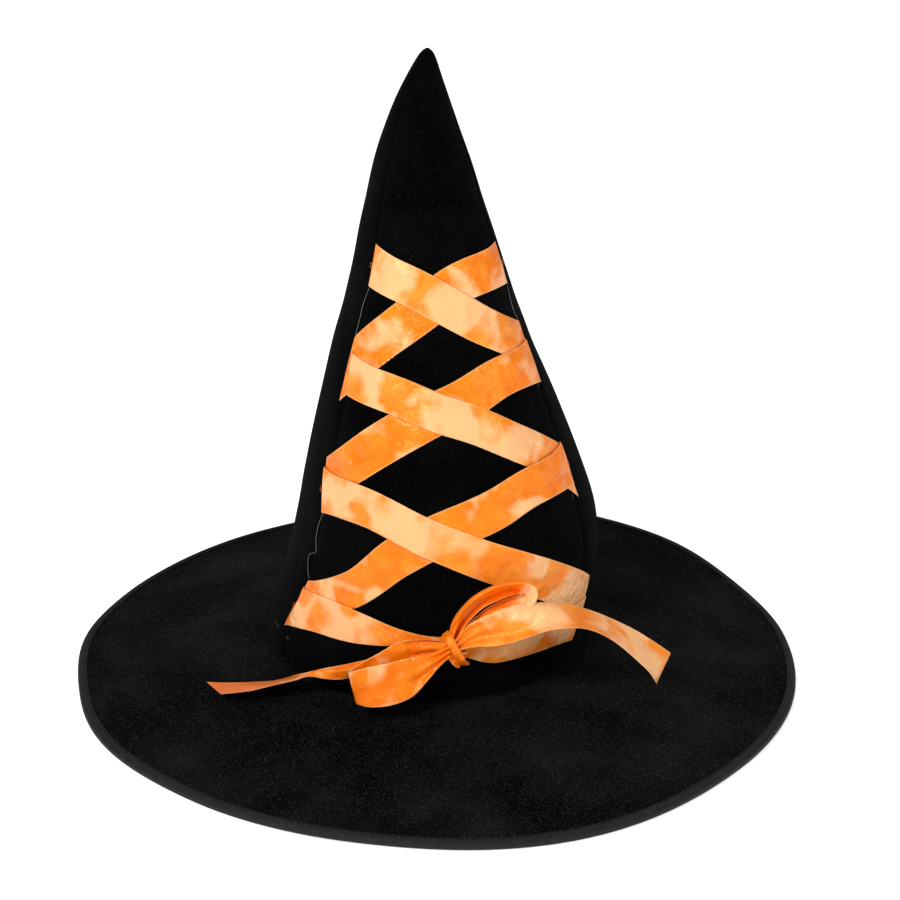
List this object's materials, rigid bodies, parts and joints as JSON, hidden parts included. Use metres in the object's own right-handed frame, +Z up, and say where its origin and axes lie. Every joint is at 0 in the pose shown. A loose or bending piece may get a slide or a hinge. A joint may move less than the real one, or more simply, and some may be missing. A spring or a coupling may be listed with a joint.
{
  "type": "witch hat",
  "caption": "Pointed black velour costume hat with a wide round bound brim, laced across the front of the crown with orange satin ribbon tied in a bow.",
  "frame": {"origin": "middle of the brim's outline, on the table that the hat stands on", "axes": "+Z up along the crown, -Y towards the front with the lacing and the bow, +X to the right seen from the front"},
  "size_m": [0.4149, 0.415, 0.358],
  "materials": {
    "black_velour": "matte",
    "under_cloth": "matte",
    "foam_backing": "matte",
    "binding_tape": "satin",
    "sweatband_tape": "satin",
    "edge_wire": "satin",
    "black_thread": "satin",
    "orange_satin": "satin",
    "orange_thread": "satin",
    "clear_thread": "satin"
  },
  "bodies": {
    "hat": {"crown_front_velour": "black_velour", "crown_back_velour": "black_velour", "crown_front_foam": "foam_backing", "crown_back_foam": "foam_backing", "crown_seam_left": "foam_backing", "crown_seam_right": "foam_backing", "brim_top_velour": "black_velour", "brim_foam": "foam_backing", "brim_under_velour": "under_cloth", "brim_wire": "edge_wire", "brim_binding": "binding_tape", "binding_stitching": "black_thread", "sweatband": "sweatband_tape", "seam_stitching": "black_thread", "left_ribbon_1": "orange_satin", "left_ribbon_2": "orange_satin", "left_ribbon_3": "orange_satin", "left_ribbon_4": "orange_satin", "right_ribbon_1": "orange_satin", "right_ribbon_2": "orange_satin", "right_ribbon_3": "orange_satin", "right_ribbon_4": "orange_satin", "left_tacks": "orange_thread", "right_tacks": "orange_thread", "left_tack_thread": "clear_thread", "right_tack_thread": "clear_thread", "bow_knot": "orange_satin"},
    "left_tail": {"bow_left_tail": "orange_satin"},
    "right_tail": {"bow_right_tail": "orange_satin"},
    "left_loop": {"bow_left_loop": "orange_satin"},
    "right_loop": {"bow_right_loop": "orange_satin"}
  },
  "joints": [
    {"name": "left_tail_lift", "type": "hinge", "parent": "hat", "child": "left_tail", "pos_m": [0.009, -0.098, 0.054], "axis": [0, 1, 0], "range_deg": [0, 70]},
    {"name": "right_tail_lift", "type": "hinge", "parent": "hat", "child": "right_tail", "pos_m": [0.009, -0.098, 0.054], "axis": [0, -1, 0], "range_deg": [0, 50]},
    {"name": "left_loop_lift", "type": "hinge", "parent": "hat", "child": "left_loop", "pos_m": [0.009, -0.098, 0.054], "axis": [0, 1, 0], "range_deg": [0, 60]},
    {"name": "right_loop_lift", "type": "hinge", "parent": "hat", "child": "right_loop", "pos_m": [0.009, -0.098, 0.054], "axis": [0, -1, 0], "range_deg": [0, 35]}
  ]
}
